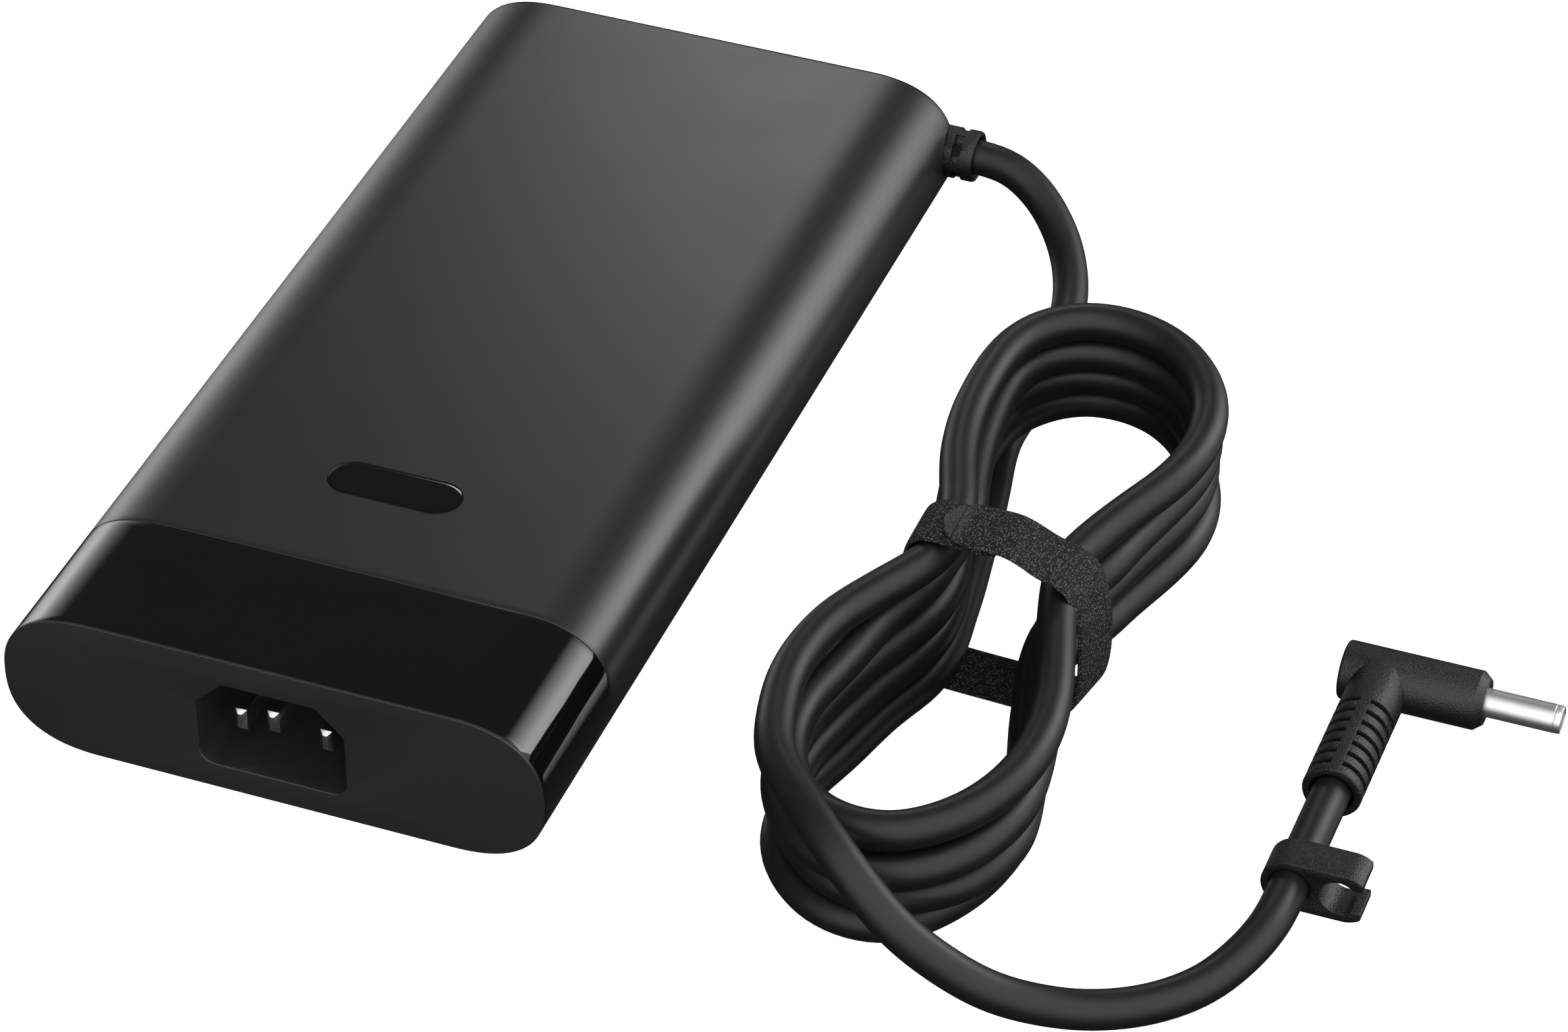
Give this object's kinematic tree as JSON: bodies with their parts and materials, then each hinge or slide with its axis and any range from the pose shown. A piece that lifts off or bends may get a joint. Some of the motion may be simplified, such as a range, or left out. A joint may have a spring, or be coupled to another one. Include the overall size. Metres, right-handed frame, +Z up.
{
  "type": "laptop power adapter",
  "caption": "Slim oval laptop power supply with a recessed mains inlet, and an output cord coiled in a hook-and-loop strap that ends in a right-angle barrel plug.",
  "frame": {"origin": "centre of the case's underside, on the surface that it lies on", "axes": "+Y along the case from the mains inlet to the cord end, +X towards the coiled cord, +Z up"},
  "size_m": [0.221, 0.1985, 0.0317],
  "materials": {
    "satin_case": "satin, very fine grain",
    "front_satin": "satin",
    "gloss_band": "high gloss",
    "label": "blank printed film",
    "moulding": "spark-eroded texture",
    "cord": "satin jacket",
    "hook_and_loop": "knitted loop",
    "plated_blade": "bright nickel plate on brass",
    "nickel": "satin nickel plate on brass",
    "insulator": "moulded",
    "board": "solder mask",
    "film": "clear-yellow film",
    "aluminium": "mill finish",
    "ceramic": "smooth",
    "blue_lacquer": "dipped lacquer",
    "yellow_box": "moulded box",
    "ferrite": "ground ferrite",
    "copper": "enamelled copper wire",
    "tape": "polyester tape",
    "black_epoxy": "moulded epoxy",
    "can_sleeve": "shrunk sleeve on aluminium",
    "wire_black": "insulation",
    "wire_white": "insulation"
  },
  "bodies": {
    "adapter": {"badge_inlay": "gloss_band", "body_sleeve": "satin_case", "boost_core_front": "ferrite", "boost_core_rear": "ferrite", "boost_winding": "copper", "bridge_rectifier": "black_epoxy", "bulk_capacitor_1": "can_sleeve", "bulk_capacitor_2": "can_sleeve", "cable_gland": "moulding", "control_board": "board", "cord_coil": "cord", "cord_lead": "cord", "cord_tail": "cord", "earth_blade": "plated_blade", "filter_choke_core": "ferrite", "filter_choke_winding_1": "copper", "filter_choke_winding_2": "copper", "front_band": "gloss_band", "front_plate": "front_satin", "inlet_housing": "front_satin", "input_fuse": "ceramic", "insulating_sheet": "film", "line_blade": "plated_blade", "line_wire": "wire_black", "lower_heat_spreader": "aluminium", "main_board": "board", "neutral_blade": "plated_blade", "neutral_wire": "wire_white", "optocoupler": "black_epoxy", "output_capacitor_1": "can_sleeve", "output_capacitor_2": "can_sleeve", "output_capacitor_3": "can_sleeve", "output_choke_core": "ferrite", "output_choke_winding": "copper", "output_rectifier_1": "black_epoxy", "output_rectifier_2": "black_epoxy", "output_wire": "wire_black", "plug_barrel": "nickel", "plug_body": "moulding", "plug_centre_pin": "nickel", "plug_insulator": "insulator", "plug_strain_relief": "moulding", "primary_heatsink": "aluminium", "primary_switch_1": "black_epoxy", "primary_switch_2": "black_epoxy", "rating_label": "label", "rear_cover": "satin_case", "resonant_capacitor": "yellow_box", "return_wire": "wire_black", "secondary_heatsink": "aluminium", "tie_strap": "hook_and_loop", "transformer_core_front": "ferrite", "transformer_core_rear": "ferrite", "transformer_winding": "tape", "upper_heat_spreader": "aluminium", "varistor": "blue_lacquer", "x_capacitor": "yellow_box", "y_capacitor": "blue_lacquer"},
    "clip": {"cable_clip": "moulding"}
  },
  "joints": [
    {"name": "clip_slide", "type": "slide", "parent": "adapter", "child": "clip", "axis": [0, 1, 0], "range_m": [-0.005, 0.0155]}
  ]
}
